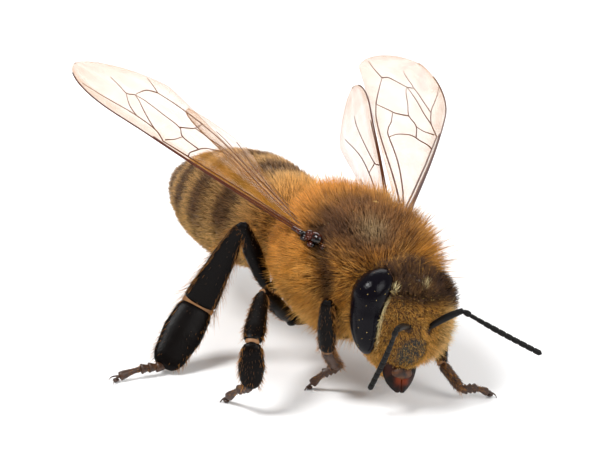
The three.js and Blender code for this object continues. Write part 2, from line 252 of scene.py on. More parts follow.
HIP_FORM = (((0, 0.12), (0.5, 0.19), (1, 0.13)), 0.9)
LEG_THIN = 0.09  # least half thickness of a leg
FOOT_HALF = (0.09, 0.07)  # half width and half thickness of a foot under its hair
LEG_HAIR_WIDTH = 0.013
FOOT_CUTS = (0, 0.17, 0.33, 0.49, 0.92)  # where one foot joint ends and the next starts
# share of a leg's hairs on each of its parts
LEG_SHARES = {"femur": 0.28, "tibia": 0.36, "basitarsus": 0.28, "tarsus": 0.08}
VIEW = dict(azimuth=-36.4, elevation=21.0, roll=2.9, distance=170.0, scale=33.57, x=349.5, y=251.2)
PICTURE = (612, 476)
SENSOR = 36
AIM_HEIGHT = 3.85
FLOOR_HALF = 3.0
SKY_STRENGTH = 0.32
LAMP_DISTANCE = 0.28
# direction in the camera's axes, size in metres, watts
LAMPS = {
    "key_light": ((-0.45, 0.75, 0.55), 0.09, 0.75),
    "fill_light": ((0.75, 0.45, 0.8), 0.16, 0.42),
    "rim_light": ((0.1, 0.9, -0.7), 0.2, 0.4),
}


# ---------- small maths ----------
def unit(v):
    v = np.asarray(v, float)
    return v / np.maximum(np.linalg.norm(v, axis=-1, keepdims=True), 1e-12)


def smooth(a, b, x):
    t = np.clip((np.asarray(x, float) - a) / (b - a), 0, 1)
    return t * t * (3 - 2 * t)


def turn(yaw, pitch, roll):
    a, b, c = np.radians((yaw, pitch, roll))
    rz = np.array([[np.cos(a), -np.sin(a), 0], [np.sin(a), np.cos(a), 0], [0, 0, 1]])
    rx = np.array([[1, 0, 0], [0, np.cos(b), -np.sin(b)], [0, np.sin(b), np.cos(b)]])
    ry = np.array([[np.cos(c), 0, np.sin(c)], [0, 1, 0], [-np.sin(c), 0, np.cos(c)]])
    return rz @ rx @ ry


def sway(p, scale):
    """Smooth three-way noise from summed waves, so neighbouring hairs lean alike."""
    rng = np.random.default_rng(7)
    out = np.zeros((len(p), 3))
    for octave in (1.0, 2.1):
        for k in range(3):
            waves = rng.normal(size=(3, 3)) * scale * octave
            phase = rng.uniform(0, 6.28, 3)
            out[:, k] += np.sin(p @ waves + phase).sum(1) / (3 * octave)
    return out


def bell(*offsets):
    """1 where every scaled offset is 0, falling off round it."""
    return np.exp(-sum(o * o for o in offsets))


def combed(way, normal):
    """The lie of hair: a direction along the body, flattened onto the skin."""
    return unit(way - normal * (way * normal).sum(1, keepdims=True))


def on_unwrap(across, up):
    return UNWRAP_MARGIN + (1 - 2 * UNWRAP_MARGIN) * np.stack([across, up], 1)


def globe(dirs):
    """Place of each direction on the unwrap of a ball."""
    lon = np.arctan2(dirs[:, 1], dirs[:, 0]) / TAU + 0.5
    return on_unwrap(lon, np.arccos(np.clip(dirs[:, 2], -1, 1)) / np.pi)


HEAD_AXES, THORAX_AXES, ABDOMEN_AXES = (turn(*t) for t in (HEAD_TURN, THORAX_TURN, ABDOMEN_TURN))


def on_head(p):
    return np.asarray(p, float) @ HEAD_AXES.T + HEAD_CENTRE


def in_head(p):
    return (np.asarray(p, float) - HEAD_CENTRE) @ HEAD_AXES


# ---------- mesh building ----------
def tube_faces(rings, around):
    """Faces of a closed tube: an end point, the rings from point 1 on, and the other end point."""
    last, start = 1 + rings * around, 1 + (rings - 1) * around
    faces = []
    for k in range(rings - 1):
        a, b = 1 + k * around, 1 + (k + 1) * around
        faces += [(a + i, a + (i + 1) % around, b + (i + 1) % around, b + i) for i in range(around)]
    for i in range(around):
        j = (i + 1) % around
        faces += [(0, 1 + j, 1 + i), (last, start + i, start + j)]
    return faces


def ball(rows, cols, shape):
    """A closed ball of quads whose unit directions go through a shape function."""
    lat, lon = np.pi * np.arange(1, rows) / rows, TAU * np.arange(cols) / cols
    a, b = np.meshgrid(lat, lon, indexing="ij")
    ring = np.stack([np.sin(a) * np.cos(b), np.sin(a) * np.sin(b), -np.cos(a)], -1)
    dirs = np.vstack([[0, 0, -1], ring.reshape(-1, 3), [0, 0, 1]])
    return shape(dirs), tube_faces(rows - 1, cols)


def blob(grid, half, centre):
    """A closed ellipsoid."""
    return ball(*grid, lambda d: d * half + centre)


def sweep(path, wide, thin, face, around=16, cap=0.6):
    """A closed limb along a path, with half widths across and through it at each point."""
    n = len(path)
    wide, thin = (np.broadcast_to(np.asarray(size, float), n) for size in (wide, thin))
    along = unit(np.gradient(path, axis=0))
    across = unit(np.cross(along, np.broadcast_to(face, (n, 3))))
    through = np.cross(across, along)
    angle = TAU * np.arange(around) / around
    ring = (
        path[:, None]
        + across[:, None] * (wide[:, None] * np.cos(angle))[..., None]
        - through[:, None] * (thin[:, None] * np.sin(angle))[..., None]
    )
    first, last = path[0] - along[0] * thin[0] * cap, path[-1] + along[-1] * thin[-1] * cap
    return np.vstack([first, ring.reshape(-1, 3), last]), tube_faces(n, around)


def joined(parts):
    points, faces, base = [], [], 0
    for p, f in parts:
        points.append(p)
        faces += [tuple(base + i for i in face) for face in f]
        base += len(p)
    return np.vstack(points), faces


def settle(mesh, material, nodes):
    """Puts a finished mesh in the scene and the CAD nodes it stands for."""
    obj = bpy.data.objects.new(mesh.name, mesh)
    bpy.context.scene.collection.objects.link(obj)
    mesh.materials.append(material)
    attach(obj, "root")
    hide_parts(*nodes)


def attribute(mesh, name, values):
    layer = mesh.attributes.new(name, "FLOAT", "POINT")
    layer.data.foreach_set("value", np.ascontiguousarray(values, dtype=np.float32))


def piece(name, body, material, slot, nodes=None, **marks):
    """A smooth mesh that stands for the CAD nodes given, or for the one of its own name."""
    points, faces = body
    mesh = bpy.data.meshes.new(name)
    mesh.from_pydata(((points + SHIFT) * MM).tolist(), [], faces)
    mesh.polygons.foreach_set("use_smooth", [True] * len(mesh.polygons))
    for key, values in marks.items():
        attribute(mesh, key, values)
    mesh.update()
    settle(mesh, material, nodes or [name])


# ---------- hair ----------
def sliver(joints):
    """Triangles of one closed three-sided hair, and how far along it each of its points is."""
    tip = 3 * joints
    faces = [(0, 2, 1)]
    for k in range(0, tip, 3):
        for j in range(3):
            a, b = k + j, k + (j + 1) % 3
            faces += [(a, b, tip)] if k == tip - 3 else [(a, b, b + 3), (a, b + 3, a + 3)]
    return np.array(faces), np.append(np.repeat(np.arange(joints) / joints, 3), 1.0)


def coat(
    name, stand, marks, material, slot, nodes, *, lift, stray, clump, curl, width, seed,
    clump_scale=4.0, joints=2, keep=slice(None),
):
    """Rooted tapered hairs as closed slivers, cut into pieces small enough for the library.

    stand holds the roots, skin normals, lie, lengths and places on the unwrap.
    """
    roots, normals, lie, size, unwrap = (a[keep] for a in stand)
    rng = np.random.default_rng(seed)
    n = len(roots)
    lift = np.broadcast_to(lift, n)[:, None]
    start = unit(normals * lift + lie * (1 - lift) + stray * rng.normal(size=(n, 3)))
    start = unit(start + clump * sway(roots, clump_scale))
    end = unit(start + curl * lie + 0.12 * rng.normal(size=(n, 3)))
    reach = (size * rng.uniform(0.72, 1.18, n))[:, None]
    half = width / 2 * rng.uniform(0.7, 1.2, n)[:, None]
    side = unit(np.cross(start, rng.normal(size=(n, 3))))
    other = np.cross(start, side)
    template, along = sliver(joints)
    per = len(along)
    points = np.empty((n, per, 3))
    for k, t in enumerate(along):
        a = TAU * (k % 3) / 3
        rim = (side * np.cos(a) + other * np.sin(a)) * half * (1 - t) ** 0.5
        points[:, k] = roots + reach * (start * t + (end - start) * t * t * 0.5) + rim
    points[..., 2] = np.maximum(points[..., 2], HAIR_CLEARANCE)
    column = np.arange(per) % 3 - 1
    patch = TUFT_PATCH * np.stack([column / 2, along - 0.5], 1)
    shade = rng.uniform(0, 1, n)
    total = max(1, -(-n // (PIECE_TRIANGLES // len(template))))
    order = rng.permutation(n)
    for part in range(total):
        pick = order[part::total]
        tris = (template + (np.arange(len(pick)) * per)[:, None, None]).reshape(-1, 3)
        mesh = bpy.data.meshes.new(name if total == 1 else f"{name}_{part + 1}")
        mesh.vertices.add(len(pick) * per)
        place = (points[pick].reshape(-1, 3) + SHIFT) * MM
        mesh.vertices.foreach_set("co", place.astype(np.float32).ravel())
        mesh.loops.add(tris.size)
        mesh.loops.foreach_set("vertex_index", tris.astype(np.int32).ravel())
        mesh.polygons.add(len(tris))
        mesh.polygons.foreach_set("loop_start", np.arange(0, tris.size, 3, dtype=np.int32))
        mesh.polygons.foreach_set("use_smooth", np.ones(len(tris), dtype=bool))
        attribute(mesh, "along", np.tile(along, len(pick)))
        attribute(mesh, "shade", np.repeat(shade[pick], per))
        for key, values in marks.items():
            attribute(mesh, key, np.repeat(values[keep][pick], per))
        uv = (unwrap[pick][:, None] + patch).reshape(-1, 2)[tris.ravel()]
        layer = mesh.uv_layers.new(name="OFBake")
        layer.data.foreach_set("uv", np.clip(uv, 0, 1).astype(np.float32).ravel())
        mesh.update(calc_edges=True)
        mesh.validate()
        settle(mesh, material, nodes)


def skin_points(shape, n, seed):
    """Random directions, their points on a skin, outward normals and places on its unwrap."""
    rng = np.random.default_rng(seed)
    dirs = unit(rng.normal(size=(n, 3)))
    a = unit(np.cross(dirs, [0.31, 0.77, 0.55]))
    b = np.cross(dirs, a)
    p = shape(dirs)
    normal = unit(np.cross(shape(unit(dirs + STEP * a)) - p, shape(unit(dirs + STEP * b)) - p))
    return dirs, p, normal, globe(dirs)


# ---------- shader building ----------
class Wire:
    """A socket in a material's node tree; arithmetic on it adds Math nodes."""

    def __init__(self, kit, socket):
        self.kit = kit
        self.socket = socket

    def math(self, operation, *values):
        return self.kit.node("ShaderNodeMath", {"operation": operation}, dict(enumerate(values)))

    def __add__(self, other):
        return self.math("ADD", self, other)

    def __mul__(self, other):
        return self.math("MULTIPLY", self, other)

    def between(self, low, high):
        ranged = {"Value": self, "From Min": low, "From Max": high}
        return self.kit.node("ShaderNodeMapRange", {"interpolation_type": "SMOOTHSTEP"}, ranged)


class Finish:
    """One material: a Principled shader and the nodes that feed it."""

    def __init__(self, name):
        self.material = bpy.data.materials.new(name)
        self.material.use_nodes = True
        self.tree = self.material.node_tree
        self.shader = self.tree.nodes["Principled BSDF"]

    def node(self, kind, settings, inputs, out=0):
        made = self.tree.nodes.new(kind)
        for key, value in settings.items():
            setattr(made, key, value)
        for key, value in inputs.items():
            self.feed(made.inputs[key], value)
        return Wire(self, made.outputs[out])

    def feed(self, socket, value):
        if isinstance(value, Wire):
            self.tree.links.new(value.socket, socket)
        else:
            socket.default_value = (*value, 1) if hasattr(value, "__len__") else value

    def layers(self, tone, *over):
        """A tone with other tones laid over it one after another, each by its own share."""
        for share, colour in over:
            # 0 is the share of the mix, 6 and 7 its colours in and 2 its colour out
            inputs = {0: share, 6: tone, 7: colour}
            tone = self.node("ShaderNodeMix", {"data_type": "RGBA"}, inputs, 2)
        return tone

    def mark(self, name):
        return self.node("ShaderNodeAttribute", {"attribute_name": name}, {}, "Fac")

    def pattern(self, kind, per_mm, **inputs):
        place = self.node("ShaderNodeTexCoord", {}, {}, "Object")
        return self.node(kind, {}, {"Vector": place, "Scale": per_mm / MM, **inputs})

    def noise(self, per_mm):
        return self.pattern("ShaderNodeTexNoise", per_mm, Detail=3, Roughness=0.55)

    def cells(self, per_mm):
        return self.pattern("ShaderNodeTexVoronoi", per_mm)

    def bump(self, height, depth_mm, strength=1.0):
        inputs = {"Strength": strength, "Distance": depth_mm * MM, "Height": height}
        self.feed(self.shader.inputs["Normal"], self.node("ShaderNodeBump", {}, inputs))

    def set(self, tone, **sockets):
        self.feed(self.shader.inputs["Base Color"], tone)
        for key, value in sockets.items():
            self.feed(self.shader.inputs[key.replace("_", " ")], value)
        return self.material

    def hair(self, tone):
        """Hair is painted darker toward the root, as shade deep in the coat, and lighter toward the
        tip, as painted light; each one also differs a little in tone.
        """
        # painted shade toward the root and painted light toward the tip, times a random tone for
        # each hair
        value = (self.mark("along") * 1.1 + 0.22) * (self.mark("shade") * 0.9 + 0.6)
        tone = self.node("ShaderNodeHueSaturation", {}, {"Value": value, "Color": tone})
        return self.set(tone, Roughness=0.55, Specular_IOR_Level=0.3)


def two_tone(name, per_mm, first, second, grain=None, depth=0.01, **sockets):
    """A material that drifts between two tones, with a fine grain of a depth in millimetres."""
    kit = Finish(name)
    if grain:
        kit.bump(kit.noise(grain), depth)
    return kit.set(kit.layers(first, (kit.noise(per_mm), second)), **sockets)


# ---------- shapes of the body ----------
def thorax_shape(d):
    y, z = d[:, 1], d[:, 2]
    belly = 1 - 0.1 * np.maximum(0, -z) ** 2
    local = d * THORAX_SKIN * np.stack([belly, belly, np.ones_like(belly)], 1)
    local[:, 2] += 0.06 * np.exp(-((y - 0.62) ** 2 + (z - 0.78) ** 2 + d[:, 0] ** 2 * 0.7) / 0.05)
    return local @ THORAX_AXES.T + THORAX_CENTRE


def thorax_marks(dirs):
    """How far each point is on the short-haired back, down the pale sides, and so on."""
    spread = np.degrees(np.arccos(np.clip(dirs @ unit(BACK), -1, 1)))
    disc = 1 - smooth(22, 50, spread)
    low = smooth(-0.05, 0.75, -dirs[:, 2])
    rim = smooth(0.25, 0.85, dirs @ unit(BRIGHT_REAR)) * (1 - disc)
    aside = np.abs(dirs[:, :1]) * (1, 0, 0) + dirs * (0, 1, 1)
    # painted shade along the groove down each side
    groove = np.zeros(len(dirs))
    for a, b in zip(SHADED_GROOVE, SHADED_GROOVE[1:]):
        a, b = unit(a), unit(b)
        share = np.clip(((aside - a) @ (b - a)) / ((b - a) @ (b - a)), 0, 1)[:, None]
        gap = np.linalg.norm(aside - a - (b - a) * share, axis=1)
        groove = np.maximum(groove, 1 - smooth(0.05, 0.2, gap))
    dust = bell(*((dirs - unit(DUSTY_SPOT)) / 0.2).T)
    umber = bell(*((dirs - unit(DARK_SPOT)) / 0.3).T)
    return {"disc": disc, "low": low, "rim": rim, "groove": groove, "dust": dust, "umber": umber}


def head_shape(d, grow=0.0):
    x, y, z = d[:, 0], d[:, 1], d[:, 2]
    low, high = np.maximum(0, -z), np.maximum(0, z)
    narrow = 1 - 0.5 * low**1.6 - 0.12 * high**2
    depth = np.where(y < 0, HEAD_HALF[1] * (1 - 0.25 * high**2), HEAD_BACK)
    px = (HEAD_HALF[0] + grow) * x * narrow
    pz = (HEAD_HALF[2] + grow) * z
    clypeus = smooth(1.25, 0.8, np.hypot(px / 0.56, (pz + 0.78) / 0.5))
    bridge = bell(px / 0.22, (pz + 0.12) / 0.3)
    socket = bell((np.abs(px) - SOCKET[0]) / 0.13, (pz - SOCKET[2]) / 0.13)
    groove = bell(px / 0.06) * smooth(0.1, 0.3, pz) * smooth(1.2, 0.9, pz)
    relief = 0.09 * clypeus + 0.07 * bridge - 0.10 * socket - 0.04 * groove
    return on_head(np.stack([px, (depth + grow) * y - smooth(0.1, 0.5, -y) * relief, pz], 1))


def eye_form(local_z):
    """How far an eye is drawn in toward the middle of the face at a height, and how wide it is."""
    rise = local_z / EYE_HALF[2]
    return np.where(rise < 0, 0.2, 0.42) * rise**2, 1 + EYE_TOP * smooth(0, 0.9, rise)


def eye_point(sign, local):
    """A point of the upright eye ellipsoid, leaned and bent onto the side of the head."""
    x, y, z = local.T
    bend, swell = eye_form(z)
    leaned = np.stack([x * swell - sign * bend, y * swell**0.6, z], 1)
    return on_head(leaned @ turn(0, 0, -sign * EYE_LEAN).T + EYE_SEATS[sign])


def off_eyes(h):
    """Below 1 inside an eye, 1 on its surface, rising outside; points are in the head's frame."""
    levels = []
    for sign in (-1, 1):
        x, y, z = ((h - EYE_SEATS[sign]) @ turn(0, 0, -sign * EYE_LEAN)).T
        bend, swell = eye_form(z)
        q = np.stack([(x + sign * bend) / swell, y / swell**0.6, z], 1)
        levels.append(np.sqrt(((q / EYE_HALF) ** 2).sum(1)))
    return np.minimum(*levels)


def off_tufts(h):
    """Distance to the nearest pale tuft on the crown, seen from the front."""
    return np.min([np.hypot(h[:, 0] - x, h[:, 2] - z) for x, z in HEAD_TUFTS], axis=0)


def head_marks(points):
    h = in_head(points)
    x, y, z = h.T
    front = smooth(0.0, 0.5, -y)
    orbit = (1 - smooth(1.02, 1.2, off_eyes(h))) * smooth(1.35, 0.6, z) * front
    top = smooth(0.72, 1.05, z - 0.25 * y) * smooth(0.3, 0.0, y)
    corner = smooth(0.5, 0.3, np.hypot(np.abs(x) - 0.9, z - 1.15)) * smooth(0.45, 0.2, y)
    far = smooth(0.8, 1.0, x) * smooth(0.5, 0.7, z)
    crown = np.max([top, corner, far], axis=0)
    clypeus = smooth(1.3, 0.8, np.hypot(x / 0.5, (z + 0.8) / 0.46)) * front
    tufted = crown * smooth(0.06, 0.15, off_tufts(h))
    return {"orbit": orbit * (1 - crown), "crown": tufted, "clypeus": clypeus}


def girth(t):
    return np.sin(np.pi * np.clip(t, 0, 1) ** 0.85) ** 0.62


def abdomen_step(t):
    """1 at the front of a plate falling to 0 at its rear edge, and the plate's number."""
    ends = SEGMENT_ENDS
    k = np.clip(np.searchsorted(ends, t, side="right") - 1, 0, len(ends) - 2)
    return 1 - (t - ends[k]) / (ends[k + 1] - ends[k]), k


def abdomen_axis(t):
    return vec(0, t * ABDOMEN_LENGTH, 0) @ ABDOMEN_AXES.T + ABDOMEN_FRONT


def abdomen_point(t, angle):
    front, _ = abdomen_step(t)
    size = np.maximum(0.02, girth(t))
    lip = 0.035 * (1 - front) ** 2 - 0.03
    across, up = (half * size - ABDOMEN_INSET * size**0.5 + lip for half in ABDOMEN_HALF)
    local = np.stack([across * np.cos(angle), t * ABDOMEN_LENGTH, up * np.sin(angle)], -1)
    return local @ ABDOMEN_AXES.T + ABDOMEN_FRONT


def abdomen_marks(t, angle):
    front, k = abdomen_step(t)
    under = 1 - smooth(-0.35, 0.15, np.sin(angle))
    band = smooth(0.3, 0.75, front) * np.where(k < 5, 1.0, 0.5) * np.where(k < 3, 0.75, 1.0)
    return {"band": band, "under": under, "fore": 0.9 - 0.9 * smooth(0.04, 0.26, t)}


def ramp(t, stops):
    return np.interp(t, *zip(*stops))


def leg_piece(start, end, form, face, steps=22):
    stops, flat = form
    t = np.linspace(0, 1, steps)
    wide = ramp(t, stops) * (1 - 0.3 * smooth(0.05, 0, t)) * (1 - 0.2 * smooth(0.96, 1.0, t))
    thin = np.maximum(wide * flat, LEG_THIN) * (1 - 0.3 * smooth(0.06, 0, t))
    return sweep(start + (end - start) * t[:, None], wide, thin, face, 20)


def toe_path(foot, toe, t):
    path = foot + (toe - foot) * t[:, None]
    path[:, 2] += 0.1 * np.sin(np.pi * t) - 0.02 * t
    return path


# ---------- operators ----------
class Builder(bpy.types.Operator):
    bl_options = {"REGISTER", "UNDO"}

    def execute(self, context):
        self.build(context.scene.bee_coat, context.scene.bee_colours)
        return {"FINISHED"}


class BEE_OT_thorax(Builder):
    """Skin and long coat of the thorax"""

    bl_idname = "bee.thorax"
    bl_label = "Thorax"

    def build(self, sizes, tints):
        kit = Finish("thorax_skin")
        kit.bump(kit.noise(20), 0.02)
        browner = kit.mark("disc") * 0.7
        tone = kit.layers(tints.skin, (kit.noise(6), tints.disc), (browner, tints.disc))
        skin = kit.set(tone, Roughness=0.6)
        body = ball(*BODY_GRID, thorax_shape)
        dirs = unit((body[0] - THORAX_CENTRE) @ THORAX_AXES / THORAX_SKIN)
        disc = thorax_marks(dirs)["disc"]
        piece("thorax_skin", body, skin, "coat_thorax", ["thorax"], disc=disc)

        kit = Finish("thorax_hair")
        tone = kit.layers(
            tints.gold,
            (kit.noise(1.6).between(0.3, 0.75) * 0.55, tints.pale),
            (kit.mark("rim"), tints.rim),
            (kit.mark("low") * 0.8, tints.pale),
            # patches of darker gold, painted shade in the coat
            (kit.noise(2.2).between(0.42, 0.7) * 0.6, SHADOW_GOLD),
            (kit.mark("disc"), tints.disc),
            (kit.mark("disc") * kit.noise(1.1).between(0.45, 0.7) * 0.6, tints.crown),
            (kit.mark("umber") * 0.75, UMBER),
            (kit.mark("dust") * 0.6, DUST),
            # painted shade down the groove on each side, and some real dark hairs at the collar and
            # ruff
            (kit.mark("groove") * 0.85, tints.crown),
        )
        dirs, p, normal, unwrap = skin_points(thorax_shape, sizes.thorax_count, seed=11)
        marks = thorax_marks(dirs)
        disc = marks["disc"]
        size = (sizes.thorax_hair * (1 - disc) + sizes.disc_hair * disc) / MM
        size *= 1 - 0.35 * smooth(0.25, 0.85, -dirs[:, 2])
        size *= 1 - 0.4 * smooth(0.2, 0.9, dirs @ unit(SHORT_FLANK))
        pick = np.random.default_rng(12).uniform(size=len(p))
        size *= 1 + 0.5 * (pick < 0.08)
        size *= 1 - 0.45 * marks["groove"]
        collar = smooth(0.2, 0.7, dirs @ unit(COLLAR))
        size *= 1 + 0.7 * collar * disc
        ruff = smooth(0.82, 0.97, dirs @ unit(RUFF))
        size *= 1 + 0.4 * ruff
        # the groove's mark of painted shade also takes some real dark hairs at the collar and ruff
        marks["groove"] = np.maximum(marks["groove"], np.maximum(collar, ruff) * (pick > 0.78))
        coat(
            "thorax_coat", (p, normal, combed(vec(0, 0.95, -0.3), normal), size, unwrap), marks,
            kit.hair(tone), "coat_thorax", ["thorax"], lift=0.8, stray=0.12, clump=0.2, curl=0.5,
            width=0.86 * sizes.hair_width / MM, seed=3, keep=self.bare(p, normal, size),
        )

    def bare(self, p, normal, size):
        """Which hairs stay: those clear of the head and of the wing hinges."""
        tips = in_head(p + normal * size[:, None] * 0.15)
        keep = ((tips / (HEAD_HALF[0] * 0.95, 0.8, HEAD_HALF[2] * 0.95)) ** 2).sum(1) > 1
        for sign, share in ((-1, 1.0), (1, 0.4)):
            gap = (p - (sign * 1.6, -0.45, 4.6)) / (vec(0.26, 0.36, 0.22) * share)
            keep &= np.linalg.norm(gap, axis=1) > 1
        return keep


class BEE_OT_head(Builder):
    """Skin, hair, eyes and simple eyes of the head"""

    bl_idname = "bee.head"
    bl_label = "Head"

    def build(self, sizes, tints):
        kit = Finish("head_skin")
        pits = kit.cells(22) + kit.noise(14) * 0.4
        kit.bump(pits, 0.02)
        tone = kit.layers(
            tints.skin,
            (kit.noise(5), FACE_SKIN),
            (kit.mark("clypeus"), kit.layers(CLYPEUS, (pits.between(0.3, 0.6), CLYPEUS_PIT))),
            (kit.mark("orbit").between(0.2, 0.7), tints.orbit),
        )
        skin = kit.set(tone, Roughness=0.45, Specular_IOR_Level=0.3)
        body = ball(*HEAD_GRID, head_shape)
        piece("head_skin", body, skin, "coat_head", ["head"], **head_marks(body[0]))
        kit = Finish("head_hair")
        tone = kit.layers(
            tints.face,
            (kit.noise(2.5) * 0.6, tints.gold),
            (kit.mark("orbit"), tints.orbit),
            (kit.mark("crown") * 0.7, RUSSET),
            (kit.mark("crown") * (kit.noise(3).between(0.3, 0.6) * 0.35 + 0.65), tints.crown),
        )
        hair = kit.hair(tone)
        self.face(sizes, hair)
        self.fringe(sizes, hair)
        self.brow(sizes, hair)
        self.eyes(tints)

    def face(self, sizes, hair):
        """Short hair of the face and the crown."""
        _, p, normal, unwrap = skin_points(head_shape, sizes.head_count, seed=21)
        h = in_head(p)
        x, y, z = h.T
        marks = head_marks(p)
        crown, clypeus = marks["crown"], marks.pop("clypeus")
        cheek = smooth(-0.2, -0.8, z) * smooth(0.5, 1.0, np.abs(x))
        tuft = smooth(0.15, 0.05, off_tufts(h))
        far = smooth(0.75, 1.0, x)
        jaw = smooth(-0.1, -0.5, z) * smooth(0.1, -0.4, x)
        size = sizes.head_hair / MM * (1 + 0.9 * crown)
        size = size * (1 + 0.9 * cheek) * (1 + 1.6 * smooth(-0.05, 0.25, y))
        size = size * (1 + 0.9 * tuft) * (1 - 0.45 * clypeus) * (1 + 1.3 * far)
        size = np.minimum(size * (1 - 0.5 * jaw), 0.44 - 0.26 * jaw)
        orbit = np.maximum(marks["orbit"] * (1 - 0.9 * cheek), tuft)
        marks["orbit"] = np.maximum(orbit, 0.3 * far * (1 - crown))
        keep = (off_eyes(h) > 1) & (y < 0.35)
        keep &= (np.hypot(np.abs(x) - SOCKET[0], z - SOCKET[2]) > 0.15) | (y > 0)
        keep &= np.random.default_rng(5).uniform(size=len(p)) > 0.72 * clypeus
        down = np.stack([0.5 * x, 0.9 * smooth(-0.3, 0.5, y), -np.ones(len(h))], 1)
        lie = down + ((0, -0.4, 1) - down) * smooth(0.2, 1.3, z)[:, None]
        lie = combed((lie + far[:, None] * (2.2, 0, 0.3)) @ HEAD_AXES.T, normal)
        coat(
            "head_coat", (p, normal, lie, size, unwrap), marks, hair, "coat_head", ["head"],
            lift=0.62, stray=0.24, clump=0.22, clump_scale=9.0, curl=0.35,
            width=0.8 * sizes.hair_width / MM, joints=1, seed=4, keep=keep,
        )

    def fringe(self, sizes, hair):
        """Long hair standing out behind the eyes and over the crown."""
        _, p, normal, unwrap = skin_points(head_shape, sizes.fringe_count * 3, seed=23)
        h = in_head(p)
        x, y, z = h.T
        rear = (y > 0.05) & (np.hypot(x / HEAD_HALF[0], z / HEAD_HALF[2]) > 0.55)
        keep = (rear | ((z > 0.95) & (y > -0.45))) & (off_eyes(h) > 1)
        p, normal, unwrap, h = (a[keep][: sizes.fringe_count] for a in (p, normal, unwrap, h))
        x, y, z = h.T
        lie = combed(np.stack([x, np.full(len(h), 0.35), z], 1) @ HEAD_AXES.T, normal)
        size = sizes.fringe_hair / MM * (1 - 0.72 * smooth(-0.3, -1.1, z))
        size = size * (1 - 0.45 * smooth(-0.1, -0.5, z) * smooth(0.0, -0.5, x))
        high = smooth(0.6, 1.0, z + 0.2 * x) * smooth(0.5, 0.3, y)
        dark = (np.random.default_rng(24).uniform(size=len(p)) < 0.3 + 0.65 * high) * 1.0
        coat(
            "head_fringe", (p, normal, lie, size, unwrap), {"orbit": 0 * dark, "crown": dark},
            hair, "coat_head", ["head"], lift=0.35, stray=0.13, clump=0.1, curl=0.2,
            width=0.9 * sizes.hair_width / MM, seed=8,
        )

    def brow(self, sizes, hair):
        """Short hair over the front edge of the left eye."""
        rng = np.random.default_rng(31)
        d = unit(rng.normal(size=(sizes.fringe_count, 3)))
        d = d[(d[:, 1] < 0.1) & (d[:, 0] < 0.55) & (d[:, 2] > -0.5)]
        p = eye_point(1, d * EYE_HALF)
        normal = unit(eye_point(1, d * (EYE_HALF + 0.05)) - p)
        lie = combed(HEAD_AXES @ vec(0.8, 0.1, 0.4), normal)
        h = in_head(p)
        dark = smooth(0.35, 0.65, h[:, 2] + 0.15 * rng.normal(size=len(h)))
        stand = (p, normal, lie, np.full(len(h), 0.2), globe(unit(h)))
        coat(
            "head_brow", stand, {"orbit": 0 * dark, "crown": dark}, hair, "coat_head", ["head"],
            lift=0.55, stray=0.16, clump=0.1, curl=0.3, width=0.8 * sizes.hair_width / MM,
            joints=1, seed=14,
        )

    def eyes(self, tints):
        kit = Finish("eye_shell")
        kit.bump(kit.cells(30), 0.006, 0.5)
        # a lighter purple drifts over the eyes as a painted sheen
        tone = kit.layers(tints.eye, (kit.noise(1.5), EYE_SHEEN))
        shell = kit.set(tone, Roughness=0.1, Specular_IOR_Level=0.11)
        for side, sign in SIDES:
            body = ball(*EYE_GRID, lambda d: eye_point(sign, d * EYE_HALF))
            piece(f"compound_eye_{side}", body, shell, "eye")
        bead = two_tone("simple_eye", 8, tints.eye, BEAD_TONE, Roughness=0.08)
        ways = unit([(x / 1.7, -0.52 + 0.1 * (x != 0), z / 1.75) for x, z in SIMPLE_EYES])
        beads = [blob(SMALL_GRID, 0.12, centre) for centre in head_shape(ways)]
        piece("simple_eyes", joined(beads), bead, "eye", ["head"])


class BEE_OT_mouth(Builder):
    """Lip, mandibles and folded tongue"""

    bl_idname = "bee.mouth"
    bl_label = "Mouthparts"

    def build(self, sizes, tints):
        kit = Finish("mouth_shell")
        kit.bump(kit.noise(18), 0.01)
        tone = kit.layers(
            tints.mouth,
            (kit.noise(2.4).between(0.4, 0.6), JAW_TONE),
            (kit.mark("inner") * (kit.noise(3) * 0.5 + 0.5), JAW_RED),
        )
        shell = kit.set(tone, Roughness=0.32, Specular_IOR_Level=0.15)
        kit = Finish("lip_shell")
        tone = kit.layers(RUSSET, (kit.noise(5).between(0.35, 0.65), LIP_TONE))
        lip_shell = kit.set(tone, Roughness=0.4, Specular_IOR_Level=0.3)
        lip = ball(*LARGE_GRID, lambda d: on_head(d * (0.4, 0.13, 0.2) + (0.0, -0.5, -1.5)))
        piece("labrum", lip, lip_shell, "mouthpart")
        face = HEAD_AXES @ vec(0, -1, -0.3)
        t = np.linspace(0, 1, 14)
        wide = 0.27 + 0.05 * np.sin(np.pi * t) - 0.06 * t - 0.13 * t**3
        for side, sign in SIDES:
            path = np.stack([sign * (0.42 - 0.36 * t), -0.34 - 0.24 * t, -1.2 - 0.84 * t], 1)
            path[:, 0] += sign * 0.05 * np.sin(np.pi * t)
            body = sweep(on_head(path), wide, 0.11 - 0.03 * t, face, 20)
            x, _, z = in_head(body[0]).T
            inner = smooth(0.34, 0.12, np.abs(x)) * smooth(-1.9, -1.75, z)
            piece(f"mandible_{side}", body, shell, "mouthpart", inner=inner)
        t = np.linspace(0, 1, 12)
        path = on_head(np.stack([0.1 + 0 * t, 0.1 + 0.25 * t, -1.4 - 0.35 * t], 1))
        body = sweep(path, 0.2 - 0.06 * t, 0.16 - 0.04 * t, HEAD_AXES @ vec(0, -1, 0))
        piece("tongue", body, shell, "mouthpart", ["proboscis"], inner=np.zeros(len(body[0])))


